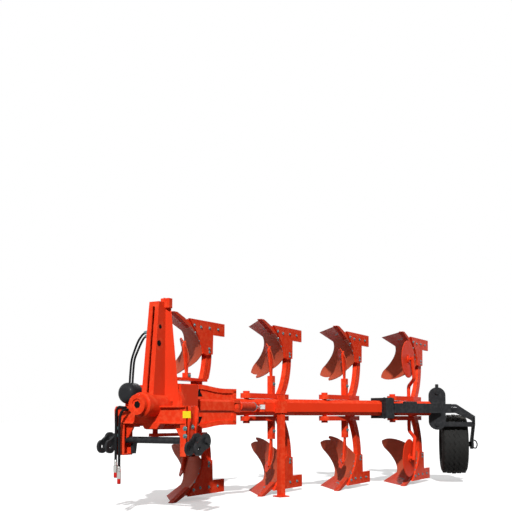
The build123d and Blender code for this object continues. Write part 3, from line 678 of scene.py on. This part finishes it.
# Mast: boxed tab on top, black discs of painted shade for its holes, and the two hoses held between it and the
# accumulator
mast_tab = Bits("mast_trim", "headstock", "red_paint")
mast_tab.block(head_place(52, -800, 1752), X, UP, (0.09, 0.05, 0.084), edge=0.004)
# Thin black discs on the mast's side are painted shade for holes
mast_painted_shade = Bits("mast_painted_shade", "headstock", "painted_shade_black")
# Height, place along the travel and radius. The mast's side leans outwards to its foot.
for up, y, radius in ((1411, -903, 0.024), (1550, -886, 0.017)):
    lean = (1550 - up) * 0.013
    mast_painted_shade.turned(head_place(52.9 + lean, y, up), X, [(0, radius), (0.002, radius)])
mast_hoses = Bits("mast_hoses", "headstock", "hose_rubber")
mast_ends = Bits("mast_hose_ends", "headstock", "zinc")
FITTING = [(0, 0.014), (0.03, 0.014), (0.032, 0.011), (0.046, 0.011)]
for shift, up, foot_x in ((0, 1507, 196), (26, 1478, 226)):
    front = -905 + shift / 2
    route = [
        place(410, front, up), place(350, front + 5, up - 8), place(286 + shift, -890, up - 70),
        place(foot_x + 16, -880, 1290), place(foot_x + 4, -880, 1160), place(foot_x, -880, 1085),
    ]
    mast_hoses.tube(smooth_path(route), 0.009)
    mast_ends.turned(place(412, front, up), -X, FITTING, sides=16)

# Width ram: the gland ring at the barrel's end
RAM_LUG = ALONG * 937 + LEFT * 149 + UP * MID
GLAND = [(0, 0.0445), (0.004, 0.0455), (0.014, 0.0455), (0.02, 0.04)]
ram_axis = (RAM_LUG - CLEVIS).normalized()
gland = Bits("ram_gland", "ram_barrel", "zinc")
gland.turned(place(*(CLEVIS + ram_axis * 366)), ram_axis, GLAND, sides=32)

# Depth wheel: clamp bolts, head pins, bent arm over the tyre, bar across it and a loop handle
clamp_trim = Bits("clamp_trim", "beam", "black_paint")
for along in (2712, 2818):
    for up in (-98, 98):
        clamp_trim.bolt(beam_place(along, 104, MID + up), LEFT, radius=0.017, high=0.014)
clamp_trim.block(beam_place(3120, 115, 968), ALONG, UP, (0.2, 0.05, 0.03), edge=0.008)
for up in (-190, 190):
    clamp_trim.turned(wheel_place(-120, -92, -up), -BACK, [(-0.03, 0.026), (0.008, 0.026), (0.012, 0.021)])
clamp_trim.turned(wheel_place(-120, -60, -262), UP, [(-0.03, 0.02), (0.025, 0.02), (0.03, 0.014)], sides=16)

# The arm's outer plate stands outside the tyre. Its outlines are out along the axle, or back, and up.
ARM_OUT, ARM_THICK = 299, 26
ARM_FACE = ARM_OUT + ARM_THICK
BEND = [
    (58, 48), (122, 44), (ARM_FACE, -92), (ARM_FACE, -190), (ARM_OUT, -190), (ARM_OUT, -150),
    (ARM_OUT - 28, -128), (100, -48), (58, -48),
]
SIDE_PLATE = [(-42, -100), (-42, -200), (280, -488), (384, -488), (390, -390), (300, -340), (26, -96)]
wheel_arm = Bits("wheel_arm_form", "wheel_arm", "black_paint")
wheel_arm.turned(wheel_place(-205), AXLE, [(0, 0.03), (0.27, 0.03)], sides=32)
wheel_arm.turned(wheel_place(54), AXLE, [(0, 0.054), (0.056, 0.054), (0.06, 0.05)], sides=32)
wheel_arm.prism(wheel_place(0), AXLE, UP, BEND, -26, 42, edge=5)
wheel_arm.prism(wheel_place(ARM_OUT), BACK, UP, SIDE_PLATE, 0, ARM_THICK, edge=5)
AXLE_END = [(-0.15, 0.032), (0, 0.032), (0, 0.06), (0.034, 0.06), (0.04, 0.05)]
wheel_arm.turned(wheel_place(ARM_OUT, 330, 436), AXLE, AXLE_END, sides=32)
wheel_arm.stand_for("wheel_arm")
arm_trim = Bits("wheel_arm_trim", "wheel_arm", "black_paint")
arm_trim.block(wheel_place(110, -22, 190), AXLE, UP, (0.38, 0.035, 0.06), edge=0.006)
HANDLE = ((325, 380), (366, 396), (382, 440), (366, 488), (325, 478))
arm_trim.tube(smooth_path([wheel_place(out, 300, down) for out, down in HANDLE]), 0.008, sides=10)

while Bits.made:
    Bits.made[0].finish_piece()


# Stage: floor, light, camera

def seen_directly(tree):
    """1 for camera, glossy and transmission rays, 0 for the rays that light the object."""
    light_path = tree.nodes.new("ShaderNodeLightPath")
    result = light_path.outputs["Is Camera Ray"]
    for kind in ("Is Glossy Ray", "Is Transmission Ray"):
        either = tree.nodes.new("ShaderNodeMath")
        either.operation = "MAXIMUM"
        tree.links.new(result, either.inputs[0])
        tree.links.new(light_path.outputs[kind], either.inputs[1])
        result = either.outputs[0]
    return result


def between(tree, share, low, high):
    made = tree.nodes.new("ShaderNodeMapRange")
    made.inputs["To Min"].default_value = low
    made.inputs["To Max"].default_value = high
    tree.links.new(share, made.inputs["Value"])
    return made.outputs["Result"]


# Levels as (for the rays that light the object, as seen)
FLOOR_COLOUR, FLOOR_GLOW, SKY_LEVEL = (0.12, 0.7), (0.0, 0.46), (0.17, 1.0)
FLOOR_HALF = 60

floor_mesh = bpy.data.meshes.new("floor")
corners = [(x * FLOOR_HALF, y * FLOOR_HALF, 0) for x, y in ((-1, -1), (1, -1), (1, 1), (-1, 1))]
floor_mesh.from_pydata(corners, [], [(0, 1, 2, 3)])
floor = link("floor", floor_mesh)
floor_material = bpy.data.materials.new("floor")
floor_material.use_nodes = True
floor_tree = floor_material.node_tree
floor_shader = floor_tree.nodes["Principled BSDF"]
floor_shader.inputs["Roughness"].default_value = 0.9
floor_shader.inputs["Specular IOR Level"].default_value = 0.0
floor_shader.inputs["Emission Color"].default_value = (1, 1, 1, 1)
floor_seen = seen_directly(floor_tree)
floor_tree.links.new(between(floor_tree, floor_seen, *FLOOR_COLOUR), floor_shader.inputs["Base Color"])
floor_tree.links.new(between(floor_tree, floor_seen, *FLOOR_GLOW), floor_shader.inputs["Emission Strength"])
floor_mesh.materials.append(floor_material)

world = bpy.data.worlds.new("studio")
bpy.context.scene.world = world
world.use_nodes = True
sky = world.node_tree
background = sky.nodes["Background"]
background.inputs["Color"].default_value = (1, 1, 1, 1)
sky.links.new(between(sky, seen_directly(sky), *SKY_LEVEL), background.inputs["Strength"])


def sun(name, towards_light, power, soft):
    light = bpy.data.lights.new(name, "SUN")
    light.energy = power
    light.angle = math.radians(soft)
    link(name, light).rotation_euler = Vector(towards_light).to_track_quat("Z", "Y").to_euler()


sun("key", (0.45, -0.85, 0.68), 4.1, 1.5)
sun("fill", (-0.5, -0.8, 0.5), 0.35, 40)
sun("back", (-0.4, 1.0, 0.6), 0.6, 30)

# The photo's horizon is below its middle, and the tilted camera's shift makes up for that
PHOTO_PIXELS, FOCAL_PIXELS, SENSOR = 512, 815, 36
HORIZON_BELOW = 160
TILT = math.radians(4)
HEADING = math.radians(30)
camera_data = bpy.data.cameras.new("camera")
camera = link("camera", camera_data)
bpy.context.scene.camera = camera
camera_data.lens = SENSOR * FOCAL_PIXELS / PHOTO_PIXELS
camera_data.sensor_width = SENSOR
camera_data.shift_y = (HORIZON_BELOW - FOCAL_PIXELS * math.tan(TILT)) / PHOTO_PIXELS
camera.location = place(4534, -6273, 815)
level = math.cos(TILT)
look = Vector((-math.sin(HEADING) * level, math.cos(HEADING) * level, math.sin(TILT)))
camera.rotation_euler = look.to_track_quat("-Z", "Y").to_euler()
camera_data.clip_end = 200

bpy.context.scene.view_settings.view_transform = "Standard"

bpy.context.view_layer.update()
